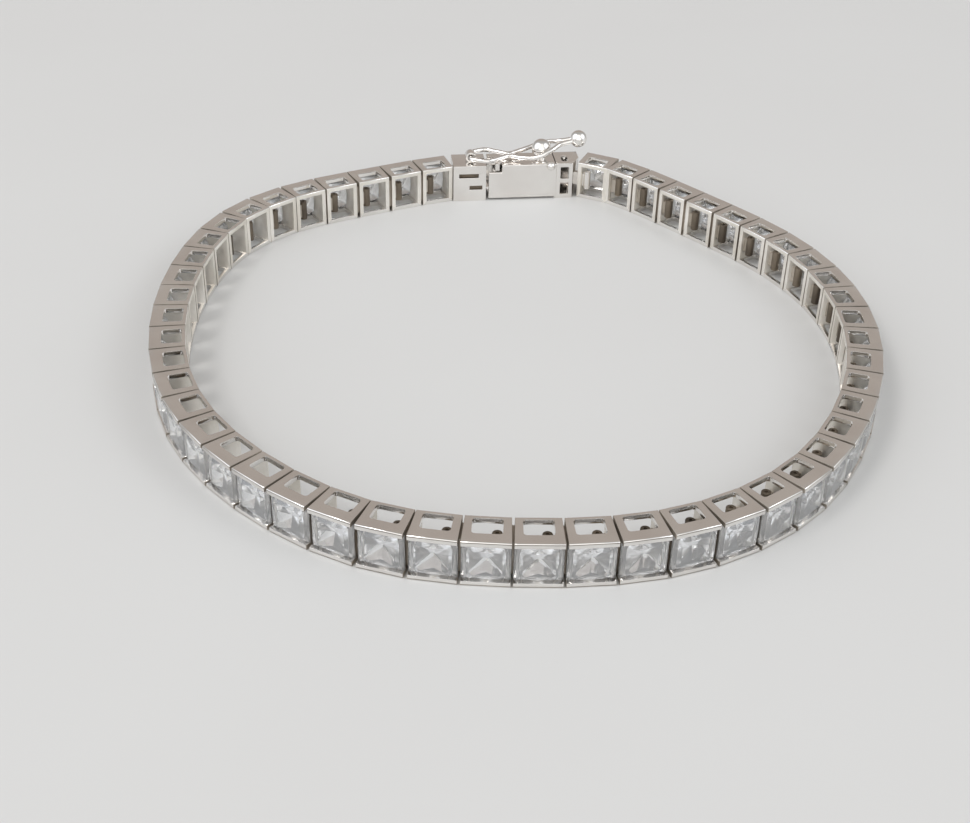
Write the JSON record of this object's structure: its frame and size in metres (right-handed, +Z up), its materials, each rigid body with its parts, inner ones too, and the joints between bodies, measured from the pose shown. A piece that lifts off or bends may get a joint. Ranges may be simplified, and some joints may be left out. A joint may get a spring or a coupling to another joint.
{
  "type": "tennis bracelet",
  "caption": "Closed loop of square box links, each with one clear square stone, held by a box clasp with a figure-of-eight wire safety latch.",
  "frame": {"origin": "middle of the loop's bounding box, on the surface that the bracelet's lower edge stands on", "axes": "+Z up, through the loop's hollow; the clasp is at the back (+Y), about 7 degrees off the X axis; +X to the right as seen from the front"},
  "size_m": [0.0592, 0.0628, 0.0065],
  "materials": {
    "white_metal": "polished white metal; the stones in the chain nodes are clear glass-like crystals"
  },
  "bodies": {
    "bracelet": {"chain_left": "white_metal", "chain_right": "white_metal", "clasp_tongue": "white_metal", "clasp_box": "white_metal"},
    "latch": {"safety_latch": "white_metal"}
  },
  "joints": [
    {"name": "safety_latch_hinge", "type": "hinge", "parent": "bracelet", "child": "latch", "pos_m": [-0.00423, 0.02862, 0.00416], "axis": [0.1276, -0.9918, 0], "range_deg": [0, 150]}
  ]
}
